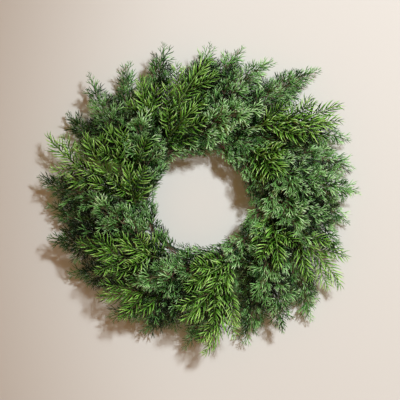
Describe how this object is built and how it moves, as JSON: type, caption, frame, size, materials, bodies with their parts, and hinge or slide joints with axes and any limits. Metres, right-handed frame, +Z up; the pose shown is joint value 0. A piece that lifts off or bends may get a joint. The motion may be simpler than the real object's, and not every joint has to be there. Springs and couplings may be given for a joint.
{
  "type": "christmas wreath",
  "caption": "Round evergreen wreath of overlapping cedar and bright needle sprays, swirling clockwise, tied to a welded wire ring that hangs on a hook.",
  "frame": {"origin": "where the hook holds the wreath: the middle of the underside of the back outer ring of wire, at the top", "axes": "+Z up, +X to the right as seen from the front, +Y from the front of the wreath back into the wall; the wreath lies in the XZ plane and its hole runs along Y"},
  "size_m": [0.6111, 0.0967, 0.5978],
  "materials": {
    "cedar_foliage": "dull dark evergreen scale leaves on brown woody stems",
    "fir_foliage": "slightly waxy bright green flat needles on green stems",
    "frame_wire": "dark green painted steel wire, welded at the braces",
    "binding_wire": "thin green enamelled florist wire"
  },
  "bodies": {
    "root": {"wire_frame": "frame_wire", "binding_wire": "binding_wire", "cedar_outer_01": "cedar_foliage", "cedar_outer_02": "cedar_foliage", "cedar_outer_03": "cedar_foliage", "cedar_outer_04": "cedar_foliage", "cedar_outer_05": "cedar_foliage", "cedar_outer_06": "cedar_foliage", "cedar_outer_07": "cedar_foliage", "cedar_outer_08": "cedar_foliage", "cedar_outer_09": "cedar_foliage", "cedar_outer_10": "cedar_foliage", "cedar_outer_11": "cedar_foliage", "cedar_outer_12": "cedar_foliage", "cedar_outer_13": "cedar_foliage", "cedar_outer_14": "cedar_foliage", "cedar_outer_15": "cedar_foliage", "cedar_outer_16": "cedar_foliage", "cedar_outer_17": "cedar_foliage", "cedar_outer_18": "cedar_foliage", "cedar_outer_19": "cedar_foliage", "cedar_outer_20": "cedar_foliage", "cedar_outer_21": "cedar_foliage", "cedar_outer_22": "cedar_foliage", "cedar_outer_23": "cedar_foliage", "cedar_crown_01": "cedar_foliage", "cedar_crown_02": "cedar_foliage", "cedar_crown_03": "cedar_foliage", "cedar_crown_04": "cedar_foliage", "cedar_crown_05": "cedar_foliage", "cedar_crown_06": "cedar_foliage", "cedar_crown_07": "cedar_foliage", "cedar_inner_01": "cedar_foliage", "cedar_inner_02": "cedar_foliage", "cedar_inner_03": "cedar_foliage", "cedar_inner_04": "cedar_foliage", "cedar_inner_05": "cedar_foliage", "cedar_inner_06": "cedar_foliage", "cedar_inner_07": "cedar_foliage", "cedar_inner_08": "cedar_foliage", "cedar_inner_09": "cedar_foliage", "fir_spray_01": "fir_foliage", "fir_spray_02": "fir_foliage", "fir_spray_03": "fir_foliage", "fir_spray_04": "fir_foliage", "fir_spray_05": "fir_foliage", "fir_spray_06": "fir_foliage", "fir_spray_07": "fir_foliage", "fir_spray_08": "fir_foliage", "fir_spray_09": "fir_foliage", "fir_spray_10": "fir_foliage", "fir_spray_11": "fir_foliage", "fir_spray_12": "fir_foliage", "fir_spray_13": "fir_foliage", "fir_spray_14": "fir_foliage", "fir_spray_15": "fir_foliage", "fir_spray_16": "fir_foliage", "fir_spray_17": "fir_foliage", "fir_spray_18": "fir_foliage"}
  },
  "joints": []
}
